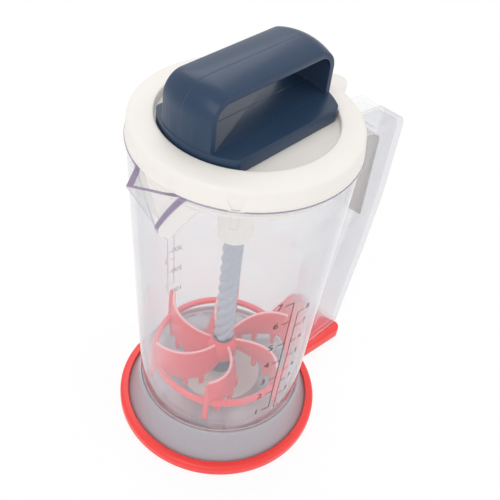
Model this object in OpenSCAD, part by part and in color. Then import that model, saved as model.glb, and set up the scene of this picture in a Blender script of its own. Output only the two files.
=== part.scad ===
// Pancake batter dispenser: a clear jug with a V spout, a turning lid with a spout gate,
// and a push handle whose spiral rod spins a whisk as it travels through a nut in the lid.
// Millimetres, +Z up, origin on the table at the jug's axis, jug handle towards +X, spout towards -X.

/* [Foot] */
// Outer radius of the red foot ring
foot_r = 56.2; // [54:0.1:60]
// Height of the foot ring
foot_ring_h = 6.2; // [5.6:0.1:8]
// Width of the foot ring's top face
foot_ring_w = 4.7; // [4.2:0.1:5.5]
// Height of the jug's underside above the table
foot_h = 22; // [20:0.5:30]
// Wall of the foot cone
foot_wall = 2.2; // [1.8:0.1:2.6]
// Radius of the round plug in the middle of the foot
plug_disc_r = 22.4; // [15:0.1:30]
// Half width of the tab that carries the jug handle, at its end
tab_half_w = 20; // [17.5:0.1:23]
// Half width of the tab where it leaves the ring
tab_root_w = 17; // [16.5:0.1:20]
// Wall of the tab beyond the handle's heel
tab_rim = 1.6; // [1.4:0.1:4]
// Corner radius of the tab
tab_corner = 5; // [3:0.5:8]

/* [Jug] */
// Outer radius of the jug at its underside
base_r = 44; // [42:0.1:46]
// Outer radius of the jug at its rim
rim_r = 51.4; // [50:0.1:54]
// Height of the jug from its underside to its rim
jug_h = 161.6; // [150:0.1:190]
// Wall of the jug
jug_wall = 2.6; // [2.2:0.1:3]
// Thickness of the jug's floor
jug_floor = 2.6; // [2:0.1:4]
// Overhang of the rim lip
lip_out = 0.8; // [0.7:0.1:1.4]
// Height of the rim lip
lip_h = 2; // [1.5:0.1:3]
// Turn of the closing marks about the axis, on the lid and on the jug
mark_turn = -140; // [-150:1:-110]

/* [Spout] */
// Reach of the spout's tip beyond the rim
spout_reach = 14.8; // [11:0.1:18]
// Rise of the spout's tip above the rim
spout_rise = 4.9; // [2:0.1:7]
// Drop of the spout's root below the rim
spout_drop = 26; // [20:0.5:30]
// Half width of the spout at the rim
spout_half_w = 14.8; // [12:0.1:17]
// Wall of the spout
spout_wall = 2.2; // [1.8:0.1:2.6]

/* [Jug handle] */
// Reach of the handle's outer face from the axis at the grip
grip_reach = 112; // [108:0.5:118]
// Depth of the grip, from its inner face to its outer face
grip_depth = 21; // [18:0.5:26]
// Half width of the handle
grip_half_w = 13; // [11:0.1:14]
// Half width of the handle's heel
heel_half_w = 15.2; // [14.5:0.1:16]
// Height of the handle's roof above the table, at its outer end
roof_z = 155.5; // [145:0.5:165]
// Rise of the roof from its outer end to the jug
roof_rise = 9; // [4:0.5:12]
// Height of the lower end of the finger slot
slot_z = 92; // [80:0.5:100]
// Reach of the handle's outer face at the foot
heel_reach = 88; // [86:0.5:92]
// Height at which the outer face turns in towards the foot
knee_z = 84; // [75:0.5:100]
// Wall of the handle
grip_wall = 2.4; // [2:0.1:3]

/* [Lid] */
// Height of the lid's skirt
skirt_h = 7.6; // [6:0.1:10]
// Overhang of the lid's skirt beyond the jug's wall at the rim
skirt_out = 0.5; // [0.2:0.1:1]
// Rise of the lid's crown above the skirt
crown_h = 3.2; // [2:0.1:4]
// Radius of the recess that the push handle rests in
recess_r = 39.6; // [39.3:0.1:41]
// Depth of the recess
recess_d = 4; // [3:0.1:5]
// Wall of the lid
lid_wall = 2.2; // [1.8:0.1:2.6]
// Depth of the lid's plug below the rim
plug_depth = 7.6; // [7:0.1:12]
// Reach of the thumb tab beyond the skirt
thumb_reach = 12.5; // [10:0.1:14]
// Width of the thumb tab
thumb_w = 14; // [11:0.5:18]
// Lowest point of the spout gate, below the rim
gate_drop = 32.6; // [29:0.1:40]
// Half width of the spout gate at the rim
gate_half_w = 21; // [18:0.5:24]

/* [Sleeve and nut] */
// Outer radius of the guide sleeve
sleeve_r = 8.9; // [8.5:0.1:10]
// Wall of the guide sleeve
sleeve_wall = 1.9; // [1.6:0.1:2]
// Radius of the sleeve's flange
sleeve_flange_r = 14; // [12:0.5:18]
// Height of the drive nut
nut_h = 8.5; // [7:0.5:12]
// Height of the cap on the sleeve's end
cap_h = 5.5; // [4:0.1:8]

/* [Push handle] */
// Half width of the handle's base plate
plate_half_w = 24.2; // [22:0.1:26]
// Corner radius of the base plate
plate_corner = 4; // [2:0.5:8]
// Height of the handle's base plate
plate_h = 6.8; // [6.5:0.1:8]
// Half width of the arch
arch_half_w = 14; // [12:0.1:16]
// Height of the arch's crown above the base plate
arch_h = 24.6; // [20:0.1:30]
// Radius of the arch's crown, across the handle
crown_r = 38; // [33:0.5:60]
// Radius of the arch's shoulders, along their crest
shoulder_r = 12; // [10:0.5:14]
// Wall of the push handle
handle_wall = 2.4; // [2:0.1:2.8]
// Travel of the push handle, which sets where the guide sleeve ends above the whisk
stroke = 66; // [40:1:70]

/* [Rod] */
// Outer radius of the spiral rod over its ridges
rod_r = 5.3; // [5:0.1:5.6]
// Depth of the rod's flutes
flute_d = 0.8; // [0.5:0.05:1]
// Rise of a ridge in one whole turn
rod_lead = 28; // [20:1:40]
// Radius of the rod's neck in the push handle
neck_r = 3.5; // [3:0.1:4]

/* [Whisk] */
// Outer radius of the whisk's ring
ring_r = 38.2; // [34:0.1:38.5]
// Width of the ring
ring_w = 3; // [2:0.1:4]
// Height of the ring
ring_h = 3; // [2:0.1:4]
// Height of the ring's top above the jug's floor
ring_z = 15.4; // [14:0.1:20]
// Number of blades
blade_n = 6; // [4:1:7]
// Thickness of a blade
blade_t = 1.8; // [1.4:0.1:2.4]
// Radius of the blades' hollow section
scoop_r = 16; // [14:0.5:22]
// Outer radius of the whisk's hub
hub_r = 8; // [7.5:0.1:10]
// Height of the whisk's hub, without its neck
hub_h = 10; // [9:0.5:14]
// Width of a blade's bowed side, from its middle line
blade_w = 12; // [10:0.1:14]
// Length of the teeth below the ring's top
tooth_l = 13; // [9:0.1:13]
// Distance between neighbouring teeth
tooth_pitch = 8; // [6:0.5:9]
// Height of a scraper fin above the ring's top
fin_up = 16; // [10:0.5:20]

/* [Fits] */
// Running clearance of round shafts in their bores
run_gap = 0.08; // [0.05:0.01:0.1]
// Clearance between curved faces that move past each other
slide_gap = 0.3; // [0.25:0.05:0.4]
// Clearance of seated parts
seat_gap = 0.1; // [0.05:0.05:0.2]
// Clearance of the rod's flutes in the drive nut
flute_gap = 0.16; // [0.12:0.01:0.2]

/* [Hidden] */
$fn = 96;
eps = 0.01;

rim_z = foot_h + jug_h;
floor_z = foot_h + jug_floor;
jug_slope = (rim_r - base_r) / jug_h;
ring_in_r = foot_r - foot_ring_w;
flange_t = 2;
flange_z = 2.6;
flange_r = foot_r - 1.8;
socket_h = 2;
collar_r = base_r + socket_h * jug_slope + seat_gap + 1.3;
pocket_d = 3.2;
heel_z = foot_ring_h - pocket_d;
heel_start = foot_r + 0.8;
root_in = 4;
slot_edge = 6;
flare_z = slot_z - slot_edge - grip_wall;
tab_end = heel_reach + heel_run(foot_ring_h) + seat_gap + tab_rim;
thumb_fillet = 4;

lid_z = rim_z + seat_gap;
skirt_r = rim_r + skirt_out;
thumb_end = skirt_r + thumb_reach;
skirt_top_z = lid_z + skirt_h;
crown_z = skirt_top_z + crown_h;
recess_z = crown_z - recess_d;
lid_floor_z = recess_z - lid_wall;
plug_r = jug_in_r(rim_z - plug_depth) - 0.45;
plug_wall = 2.6;
plug_z = rim_z - plug_depth;
groove_z = plug_z + 2.4;
groove_h = 2.8;
groove_d = 1.3;

plate_z = recess_z + slide_gap;
plate_top_z = plate_z + plate_h;
plate_r = recess_r - 0.7;
roof_t = 2;
under_t = 1.6;
bush_flange_t = 0.8;
head_t = 1.6;
head_r = 6.5;
head_z = plate_z + under_t + bush_flange_t + run_gap;
screw_x = 26;
screw_y = 13;
screw_r = 1.25;
screw_l = 3.6;
screw_head_r = 2.5;
screw_head_h = 0.8;
rod_screw_l = 8;
rod_screw_head_h = 0.9;

rod_top_z = plate_z - seat_gap;
ring_top_z = floor_z + ring_z;
hub_z = ring_top_z - 4;
hub_neck_h = 4;
spigot_r = 3;
spigot_h = 7;
hub_top_z = hub_z + hub_h + hub_neck_h;
rod_foot_z = hub_top_z + 1.5;
retainer_z = floor_z + 0.8;
scoop_top_z = ring_top_z + 6;
scoop_y = 9;
bow_r = 33.7;
bow_x = 24;
blade_side = 2.5;
blade_turn = 34;
tooth_y = 7;
tooth_r = 1.4;
fin_t = 2;
wall_gap = 0.5;
flute_n = 4;

stop_gap = 8;
sleeve_z = hub_top_z + stroke + stop_gap;
sleeve_in_r = sleeve_r - sleeve_wall;
bush_h = 6;
cap_spigot_h = 3;
nut_z = sleeve_z + cap_h + cap_spigot_h;

function jug_r(z) = base_r + jug_slope * (z - foot_h);
function jug_in_r(z) = jug_r(z) - jug_wall;
// Points of an arc about c, from angle a to angle b
function arc(c, r, a, b, n = 8) =
    [for (i = [0:n]) let (t = a + (b - a) * i / n) c + r * [cos(t), sin(t)]];
// Points of a quadratic curve from p to r that heads for q
function bend(p, q, r, n = 10) =
    [for (i = [0:n]) let (t = i / n) (1 - t) * (1 - t) * p + 2 * t * (1 - t) * q + t * t * r];

// Outer face of the foot cone, from its flange up to the collar round the jug
function cone_face(grow) = bend([ring_in_r - seat_gap + grow, flange_z + flange_t],
                                [collar_r + 1.4 + grow, foot_h * 0.45],
                                [collar_r + grow, foot_h + socket_h]);

// Plan of the tab under the jug handle, which widens towards its rounded end
module tab_plan() {
    side_x = tab_end - tab_corner;
    end_y = tab_half_w - tab_corner;
    for (side = [-1, 1]) translate([side_x, side * end_y]) circle(r = tab_corner);
    polygon([[ring_in_r, -tab_root_w], [side_x, -tab_half_w], [side_x, -end_y], [tab_end, -end_y],
             [tab_end, end_y], [side_x, end_y], [side_x, tab_half_w], [ring_in_r, tab_root_w]]);
}

module foot_ring() {
    edge = 2.2;
    color([0.92, 0.25, 0.23]) difference() {
        union() {
            rotate_extrude() polygon(concat(
                [[ring_in_r, 0]],
                arc([foot_r - edge / 2, edge / 2], edge / 2, -90, 0),
                arc([foot_r - edge, foot_ring_h - edge], edge, 0, 90),
                [[ring_in_r + 0.4, foot_ring_h], [ring_in_r, foot_ring_h - 0.4]]));
            linear_extrude(foot_ring_h) difference() {
                tab_plan();
                circle(r = foot_r - edge);
            }
        }
        // Groove that grips the cone's flange
        translate([0, 0, flange_z]) cylinder(r = flange_r, h = flange_t);
        translate([0, 0, -1]) cylinder(r = ring_in_r, h = foot_ring_h + 2);
        // Pocket for the heel of the jug handle
        translate([0, 0, heel_z]) linear_extrude(pocket_d + 1)
            translate([heel_start - seat_gap, -heel_half_w - seat_gap])
                square([tab_end - tab_rim - heel_start + seat_gap, 2 * (heel_half_w + seat_gap)]);
    }
}

module foot_cone() {
    inner = bend([ring_in_r - seat_gap - foot_wall, flange_z],
                 [collar_r + 1.4 - foot_wall, foot_h * 0.45 - 1],
                 [collar_r - foot_wall, foot_h - foot_wall]);
    color([0.68, 0.69, 0.71]) rotate_extrude() polygon(concat(
        [[flange_r - seat_gap, flange_z], [flange_r - seat_gap, flange_z + flange_t]],
        cone_face(0),
        [[base_r + socket_h * jug_slope + seat_gap, foot_h + socket_h],
         [base_r + seat_gap, foot_h],
         [plug_disc_r + seat_gap, foot_h], [plug_disc_r + seat_gap, foot_h - foot_wall]],
        [for (i = [len(inner) - 1:-1:0]) inner[i]]));
}

module foot_plug() {
    brim = 2.8;
    color([0.94, 0.93, 0.90]) {
        translate([0, 0, foot_h - foot_wall]) cylinder(r = plug_disc_r, h = foot_wall);
        translate([0, 0, foot_h - foot_wall - 1.4]) cylinder(r = plug_disc_r + brim, h = 1.4);
    }
}

spout_root = [-jug_r(rim_z - spout_drop), 0, rim_z - spout_drop];
spout_tip = [-(rim_r + spout_reach), 0, rim_z + spout_rise];
spout_side = [-sqrt(rim_r * rim_r - spout_half_w * spout_half_w), spout_half_w, rim_z];
ridge = spout_tip - spout_root;
spout_lean = atan2(-ridge.x, ridge.z);
ridge_in = [cos(spout_lean), 0, sin(spout_lean)];
// Half angle of the spout's V, square to its ridge
spout_open = atan2(spout_half_w, (spout_side - spout_root) * ridge_in);

// Endless V trough along the spout's ridge, shrunk by a wall on both sides
module spout_trough(wall) {
    depth = 30;
    translate(spout_root) rotate([0, -spout_lean, 0])
        translate([wall / sin(spout_open), 0, -depth / 2]) linear_extrude(norm(ridge) + depth)
            polygon([[0, 0], [depth, depth * tan(spout_open)], [depth, -depth * tan(spout_open)]]);
}

module spout_shell() {
    back = -jug_in_r(rim_z - spout_drop);
    intersection() {
        spout_trough(0);
        rotate([90, 0, 0]) linear_extrude(4 * spout_half_w, center = true)
            polygon([[back, spout_root.z], [spout_root.x, spout_root.z], [spout_tip.x, spout_tip.z],
                     [-(skirt_r + 0.7), rim_z], [back, rim_z]]);
    }
}

module jug_outside() {
    translate([0, 0, foot_h]) cylinder(r1 = base_r, r2 = rim_r, h = jug_h);
}

module jug_body() {
    lip_z = rim_z - lip_h - 0.6;
    mark_l = 7.4;
    mark_w = 3;
    proud = 0.5;
    color([0.86, 0.88, 0.92, 0.35]) difference() {
        union() {
            jug_outside();
            rotate_extrude() polygon([[rim_r - 1, rim_z], [rim_r + lip_out, rim_z],
                [rim_r + lip_out, lip_z + 1.4], [jug_r(lip_z) - 0.2, lip_z]]);
            spout_shell();
            // Mark below the rim that the lid's arrow points to
            rotate(mark_turn) translate([rim_r + proud - 2, -mark_w / 2, rim_z - 1.2 - mark_l])
                cube([2, mark_w, mark_l]);
        }
        translate([0, 0, floor_z])
            cylinder(r1 = jug_in_r(floor_z), r2 = jug_in_r(rim_z + 1), h = rim_z + 1 - floor_z);
        spout_trough(spout_wall);
    }
}

// Reach beyond heel_reach of the outer face at a height below the knee
function heel_run(z) = (grip_reach - 3 - heel_reach) * (z - heel_z) / (knee_z - heel_z);

// Side outline of the handle, drawn in X and Z, moved inwards by a wall
function handle_side(wall) = concat(
    [[base_r - root_in, heel_z - 2 * wall], [heel_reach - wall, heel_z - 2 * wall]],
    bend([heel_reach + heel_run(knee_z - 26) - wall, knee_z - 26],
         [heel_reach + heel_run(knee_z + 4) - wall, knee_z + 4],
         [grip_reach - 1.2 - wall, knee_z + 24]),
    arc([grip_reach - 9, roof_z - 8.4], 9 - wall, 0, 80),
    [[rim_r - root_in, roof_z + roof_rise * (grip_reach - rim_r + root_in) / (grip_reach - rim_r) - wall]]);

module side_plate(points, half_w) {
    rotate([90, 0, 0]) linear_extrude(2 * half_w, center = true) polygon(points);
}

// Space between the handle's two sides, which spread towards the heel, moved inwards by a wall
module handle_sides(wall) {
    grip_y = grip_half_w - wall;
    heel_y = heel_half_w - wall;
    rotate([90, 0, 90]) linear_extrude(grip_reach + 1) polygon([
        [-heel_y, -eps], [heel_y, -eps], [heel_y, foot_ring_h], [grip_y, flare_z], [grip_y, rim_z],
        [-grip_y, rim_z], [-grip_y, flare_z], [-heel_y, foot_ring_h]]);
}

// Finger slot between the jug and the grip, drawn in X and Z, grown by a wall
module finger_slot(grow, half_w) {
    edge = slot_edge;
    inner = grip_reach - grip_depth;
    rotate([90, 0, 0]) linear_extrude(2 * half_w, center = true) polygon(concat(
        [[jug_r(slot_z) - 8, slot_z - grow]],
        arc([inner - edge, slot_z + edge], edge + grow, -90, 0),
        arc([inner - edge - 2, roof_z - grip_wall - edge - 1], edge + grow + 2, 0, 84),
        [[jug_r(slot_z) - 8, roof_z + roof_rise - grip_wall + grow - 0.6]]));
}

module jug_handle() {
    color([0.86, 0.88, 0.92, 0.35]) difference() {
        intersection() {
            side_plate(handle_side(0), heel_half_w + 1);
            handle_sides(0);
        }
        // Hollow of the grip and of the block below the slot; the arm above the slot is solid
        difference() {
            intersection() {
                side_plate(handle_side(grip_wall), heel_half_w);
                handle_sides(grip_wall);
            }
            finger_slot(grip_wall, grip_half_w);
            translate([0, -grip_half_w, slot_z + slot_edge])
                cube([grip_reach - grip_depth - slot_edge, 2 * grip_half_w, rim_z]);
        }
        finger_slot(0, grip_half_w + 1);
        jug_outside();
        translate([0, -heel_half_w - 1, -1])
            cube([heel_start, 2 * heel_half_w + 2, foot_ring_h + seat_gap + 1]);
        // Room for the foot cone, its collar and the foot ring
        rotate_extrude() polygon(concat([[0, 0], [foot_r + seat_gap, 0],
            [foot_r + seat_gap, foot_ring_h + seat_gap]],
            [for (p = cone_face(slide_gap)) if (p.y > foot_ring_h + seat_gap) p],
            [[0, foot_h + socket_h + seat_gap]]));
        translate([0, -heel_half_w - 1, heel_z - 3 * grip_wall])
            cube([grip_reach, 2 * heel_half_w + 2, 3 * grip_wall]);
    }
}

module lid_seal() {
    in_r = plug_r - groove_d + slide_gap;
    color([0.90, 0.90, 0.88]) rotate_extrude() translate([in_r, groove_z + seat_gap])
        square([jug_in_r(groove_z) - slide_gap - in_r, groove_h - 2 * seat_gap]);
}

// Slice of the lid's shell, drawn in radius and height
module lid_slice() {
    edge = 2.2;
    web_r = recess_r + lid_wall;
    top_r = skirt_r - 0.8;
    polygon(concat(
        [[skirt_r - 2, lid_z], [skirt_r, lid_z]],
        arc([top_r - edge, skirt_top_z - 0.4], edge, 0, 76),
        bend([top_r - edge, crown_z - 1.3], [recess_r + 4, crown_z], [recess_r + 0.8, crown_z], 6),
        arc([recess_r + 0.8, crown_z - 0.8], 0.8, 90, 180, 4),
        [[recess_r, recess_z], [rod_hole_r(), recess_z], [rod_hole_r(), lid_floor_z],
         [web_r, lid_floor_z], [web_r, crown_z - lid_wall],
         [plug_r - plug_wall, crown_z - lid_wall], [plug_r - plug_wall, plug_z], [plug_r - 0.6, plug_z],
         [plug_r, plug_z + 0.6], [plug_r, groove_z], [plug_r - groove_d, groove_z],
         [plug_r - groove_d, groove_z + groove_h], [plug_r, groove_z + groove_h],
         [plug_r, crown_z - lid_wall - 0.8], [skirt_r - 2.6, crown_z - lid_wall - 1.2]]));
}

function rod_hole_r() = sleeve_in_r + 1.2;

// Plan of the thumb tab: a round end on a stem that spreads in fillets to the skirt
module thumb_plan() {
    half_w = thumb_w / 2;
    root_y = half_w + thumb_fillet;
    root_x = sqrt(skirt_r * skirt_r - root_y * root_y);
    polygon(concat(
        [[root_x - 1, -root_y]], arc([root_x + thumb_fillet, -root_y], thumb_fillet, 180, 90),
        arc([thumb_end - half_w, 0], half_w, -90, 90, 16),
        arc([root_x + thumb_fillet, root_y], thumb_fillet, -90, -180), [[root_x - 1, root_y]]));
}

module lid_cover() {
    mark_d = 0.5;
    color([0.96, 0.95, 0.93]) difference() {
        union() {
            rotate_extrude() lid_slice();
            // Thumb tab above the jug handle
            translate([0, 0, lid_z + 0.8]) linear_extrude(4) difference() {
                thumb_plan();
                circle(r = skirt_r - 1.5);
            }
        }
        // Arrow sunk in the skirt, pointing down at the jug's mark
        rotate(mark_turn) translate([skirt_r - 0.4 - mark_d, 0, 0]) rotate([90, 0, 90]) linear_extrude(3)
            polygon([[-1.4, lid_z - 1], [1.4, lid_z - 1], [4, skirt_top_z - 1.2], [-4, skirt_top_z - 1.2]]);
    }
}

// Gate that hangs from the lid's plug and closes the spout's V from inside the jug
module spout_gate() {
    low_z = rim_z - gate_drop;
    tip_r = 6;
    gate_t = 2.2;
    foot_top_z = plug_z + 10;
    color([0.96, 0.95, 0.93]) intersection() {
        rotate([0, 0, 150]) rotate_extrude(angle = 60) union() {
            polygon([for (p = [[0, low_z], [0, plug_z], [-gate_t, plug_z], [-gate_t, low_z]])
                [jug_in_r(p.y) - slide_gap - 0.15 + p.x, p.y]]);
            translate([plug_r - plug_wall - seat_gap - gate_t, plug_z - 4])
                square([gate_t, foot_top_z - plug_z + 4]);
            translate([plug_r - plug_wall - seat_gap - gate_t, plug_z - 4]) square([gate_t + 1.6, 4]);
        }
        rotate([90, 0, -90]) linear_extrude(rim_r + 10) union() {
            translate([0, low_z + tip_r]) circle(r = tip_r);
            polygon([[-tip_r + 0.4, low_z + 4], [tip_r - 0.4, low_z + 4],
                     [gate_half_w, rim_z - 3], [gate_half_w, foot_top_z + 1],
                     [-gate_half_w, foot_top_z + 1], [-gate_half_w, rim_z - 3]]);
        }
    }
}

module guide_sleeve() {
    color([0.95, 0.94, 0.91]) rotate_extrude() polygon([
        [sleeve_in_r, sleeve_z + cap_h], [sleeve_r, sleeve_z + cap_h], [sleeve_r, lid_floor_z - 5],
        [sleeve_r + 1.6, lid_floor_z - 2.2], [sleeve_flange_r, lid_floor_z - 2],
        [sleeve_flange_r, lid_floor_z], [rod_hole_r() - seat_gap, lid_floor_z],
        [rod_hole_r() - seat_gap, recess_z], [sleeve_in_r, recess_z]]);
}

module top_bush() {
    color([0.80, 0.80, 0.80]) translate([0, 0, recess_z - bush_h]) difference() {
        cylinder(r = sleeve_in_r - seat_gap, h = bush_h);
        translate([0, 0, -1]) cylinder(r = rod_r + run_gap, h = bush_h + 2);
    }
}

// Cross-section of the rod: ridges between round-bottomed flutes, all grown by a gap
function rod_section(gap) = [for (i = [0:flute_n * 5 - 1])
    let (a = i * 72 / flute_n, low = [0, 0, 0.45, 1, 0.45][i % 5])
    (rod_r + gap - flute_d * low) * [cos(a), sin(a)]];

// Length of the rod between two heights, turned so that it is in phase with every other length
module spiral(z0, z1, gap, step, points) {
    translate([0, 0, z0]) rotate(360 * z0 / rod_lead)
        linear_extrude(z1 - z0, twist = -360 * (z1 - z0) / rod_lead,
                       slices = ceil((z1 - z0) / step), $fn = points)
            polygon(rod_section(gap));
}

module drive_nut() {
    color([0.80, 0.80, 0.80]) difference() {
        translate([0, 0, nut_z]) cylinder(r = sleeve_in_r - seat_gap, h = nut_h);
        spiral(nut_z - 1, nut_z + nut_h + 1, flute_gap, 0.6, 60);
    }
}

module sleeve_cap() {
    mouth_r = rod_r + slide_gap;
    nose_r = sleeve_r - 0.5;
    edge = 2;
    spigot_out_r = sleeve_in_r - seat_gap;
    color([0.95, 0.94, 0.91]) rotate_extrude() polygon(concat(
        [[mouth_r, sleeve_z]],
        arc([nose_r - edge, sleeve_z + edge], edge, -90, 0),
        [[sleeve_r, sleeve_z + cap_h], [spigot_out_r, sleeve_z + cap_h],
         [spigot_out_r, nut_z], [mouth_r, nut_z]]));
}

// Outline of the base plate: a disc cut by two chords, with rounded corners, moved inwards by a wall
module plate_outline(wall) {
    r = plate_r - wall;
    half_w = plate_half_w - wall;
    corner = plate_corner - wall / 2;
    corner_y = half_w - corner;
    corner_x = sqrt((r - corner) * (r - corner) - corner_y * corner_y);
    intersection() {
        circle(r = r);
        square([2 * r, 2 * corner_y * r / (r - corner)], center = true);
    }
    square([2 * corner_x, 2 * half_w], center = true);
    for (x = [-1, 1], y = [-1, 1]) translate([x * corner_x, y * corner_y]) circle(r = corner);
}

// Cross-section of the arch's band, crowned outside and parallel inside, with its crest at a distance out
module band_section(out) {
    intersection() {
        translate([out - crown_r, 0]) difference() {
            circle(r = crown_r, $fn = 160);
            circle(r = crown_r - handle_wall, $fn = 160);
        }
        translate([0, -arch_half_w]) square([out + 1, 2 * arch_half_w]);
    }
}

// Arch: the band goes up one leg, round a shoulder, along the top, and down the other side
module arch() {
    leg_r = plate_r - 0.3;
    bend_x = leg_r - shoulder_r;
    bend_z = plate_top_z + arch_h - shoulder_r;
    leg_z = plate_top_z - roof_t / 2;
    translate([0, 0, bend_z]) rotate([0, -90, 0])
        linear_extrude(2 * bend_x, center = true) band_section(shoulder_r);
    for (side = [0, 1]) mirror([side, 0, 0]) {
        translate([bend_x, 0, bend_z]) rotate([90, 0, 0]) rotate_extrude(angle = 90) band_section(shoulder_r);
        translate([0, 0, leg_z]) linear_extrude(bend_z - leg_z) band_section(leg_r);
    }
}

module screw_places() {
    for (x = [-1, 1], y = [-1, 1]) translate([x * screw_x, y * screw_y, 0]) children();
}

module push_handle() {
    seat_z = plate_z + under_t;
    rib_h = plate_top_z - roof_t / 2 - seat_z;
    rib_t = 1.6;
    well_r = head_r + 3;
    color([0.20, 0.27, 0.36]) difference() {
        union() {
            difference() {
                translate([0, 0, plate_z]) linear_extrude(plate_h) plate_outline(0);
                translate([0, 0, plate_z - 1])
                    linear_extrude(plate_h - roof_t + 1) plate_outline(handle_wall);
            }
            arch();
            // Wall round the rod's head, and posts for the screws
            translate([0, 0, seat_z]) difference() {
                cylinder(r = well_r, h = rib_h);
                translate([0, 0, -1]) cylinder(r = head_r + 1.2, h = plate_top_z - roof_t - seat_z + 1);
            }
            screw_places() translate([0, 0, seat_z]) cylinder(r = screw_r + 1.75, h = rib_h);
            // Ribs from that wall to the sides of the base plate
            for (turn = [0, 90, 180, 270]) rotate(turn) translate([well_r - 1, -rib_t / 2, seat_z])
                cube([(turn % 180 == 0 ? plate_r : plate_half_w) - handle_wall / 2 - well_r + 1,
                      rib_t, rib_h]);
        }
        screw_places() translate([0, 0, seat_z - 1])
            cylinder(r = screw_r, h = screw_head_h + screw_l - under_t + 1.6);
    }
}

module under_plate() {
    color([0.20, 0.27, 0.36]) translate([0, 0, plate_z]) difference() {
        linear_extrude(under_t) plate_outline(handle_wall + seat_gap);
        translate([0, 0, -1]) cylinder(r = neck_r + 1.7, h = under_t + 2);
        screw_places() {
            translate([0, 0, -1]) cylinder(r = screw_r + 0.15, h = under_t + 2);
            translate([0, 0, -1]) cylinder(r = screw_head_r + 0.2, h = screw_head_h + 1);
        }
    }
}

module plate_screws() {
    color([0.72, 0.73, 0.75]) screw_places() translate([0, 0, plate_z]) {
        cylinder(r = screw_head_r, h = screw_head_h);
        translate([0, 0, screw_head_h]) cylinder(r = screw_r, h = screw_l);
    }
}

module swivel_bush() {
    color([0.90, 0.89, 0.86]) translate([0, 0, plate_z]) difference() {
        union() {
            cylinder(r = neck_r + 1.7, h = under_t);
            translate([0, 0, under_t]) cylinder(r = head_r + 0.6, h = bush_flange_t);
        }
        translate([0, 0, -1]) cylinder(r = neck_r + run_gap, h = 5);
    }
}

module spiral_rod() {
    color([0.66, 0.68, 0.72]) difference() {
        union() {
            spiral(rod_foot_z, rod_top_z, 0, 1.4, 20);
            translate([0, 0, rod_top_z - eps]) cylinder(r = neck_r, h = head_z - rod_top_z + eps);
        }
        translate([0, 0, rod_foot_z - 1]) cylinder(r = spigot_r + run_gap, h = spigot_h + 2);
        translate([0, 0, head_z + head_t - rod_screw_head_h - rod_screw_l - 1])
            cylinder(r = screw_r + run_gap, h = rod_screw_l + 1);
    }
}

module rod_head() {
    color([0.72, 0.73, 0.75]) translate([0, 0, head_z]) difference() {
        cylinder(r = head_r, h = head_t);
        translate([0, 0, -1]) cylinder(r = screw_r + 0.15, h = head_t + 2);
        translate([0, 0, head_t - rod_screw_head_h - 0.1]) cylinder(r = screw_head_r + 0.2, h = 2);
    }
}

module rod_screw() {
    color([0.72, 0.73, 0.75]) translate([0, 0, head_z + head_t - rod_screw_head_h - 0.1]) {
        cylinder(r = screw_head_r, h = rod_screw_head_h);
        translate([0, 0, -rod_screw_l]) cylinder(r = screw_r, h = rod_screw_l);
    }
}

// Plan of a blade: a straight edge on one side and a bowed edge on the other
module blade_plan() {
    start = 2;
    reach = ring_r - ring_w + 1;
    intersection() {
        translate([start, -blade_side]) square([reach - start, blade_w + blade_side]);
        translate([bow_x, blade_w - bow_r]) circle(r = bow_r, $fn = 160);
        circle(r = reach);
    }
}

// Blade: its plan cut out of a tube that lies along it, so it is hollow like a scoop
module blade() {
    intersection() {
        translate([0, 0, floor_z]) linear_extrude(scoop_top_z - floor_z + 1) blade_plan();
        translate([0, scoop_y, scoop_top_z - scoop_r]) rotate([0, 90, 0]) difference() {
            cylinder(r = scoop_r, h = ring_r);
            translate([0, 0, -1]) cylinder(r = scoop_r - blade_t, h = ring_r + 2);
        }
        translate([0, -ring_r, scoop_top_z - scoop_r]) cube([ring_r, 2 * ring_r, 2 * scoop_r]);
    }
}

module tooth(x) {
    low_z = ring_top_z - tooth_l;
    top_z = scoop_top_z - blade_t / 2 - 0.3;
    translate([x, tooth_y, 0]) rotate_extrude($fn = 32) polygon([[0, low_z], [tooth_r - 0.5, low_z],
        [tooth_r, low_z + 0.7], [tooth_r + 0.5, top_z], [0, top_z]]);
}

// Scraper fin on the ring, a thin plate that runs close to the jug's wall
module fin() {
    in_r = ring_r - ring_w / 2;
    out_r = jug_in_r(floor_z) - wall_gap;
    low_z = ring_top_z - tooth_l - 0.4;
    top_z = ring_top_z + fin_up;
    tip = 0.8;
    rotate([90, 0, 0]) linear_extrude(fin_t, center = true) polygon([
        [in_r, ring_top_z - tip], [in_r, ring_top_z - ring_h + tip], [out_r - 3 * tip, low_z + tip],
        [out_r - 2 * tip, low_z], [out_r - tip, low_z], [out_r, low_z + 2], [out_r, top_z - 6],
        [out_r - tip, top_z], [out_r - 2 * tip, top_z], [out_r - 4 * tip, ring_top_z + 5 * tip]]);
}

module whisk() {
    color([0.90, 0.28, 0.28]) difference() {
        union() {
            translate([0, 0, hub_z]) cylinder(r = hub_r, h = hub_h);
            translate([0, 0, hub_z + hub_h - 1])
                cylinder(r1 = hub_r - 0.8, r2 = rod_r + 1.1, h = hub_neck_h + 1);
            rotate_extrude() translate([ring_r - ring_w, ring_top_z - ring_h]) square([ring_w, ring_h]);
            for (i = [0:blade_n - 1]) rotate(blade_turn + 360 * i / blade_n) {
                blade();
                for (i = [0:2]) tooth(ring_r - ring_w - tooth_r - 1.1 - i * tooth_pitch);
                fin();
            }
        }
        translate([0, 0, hub_z - 1]) cylinder(r = rod_r + run_gap, h = hub_h + hub_neck_h + 2);
    }
}

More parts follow.
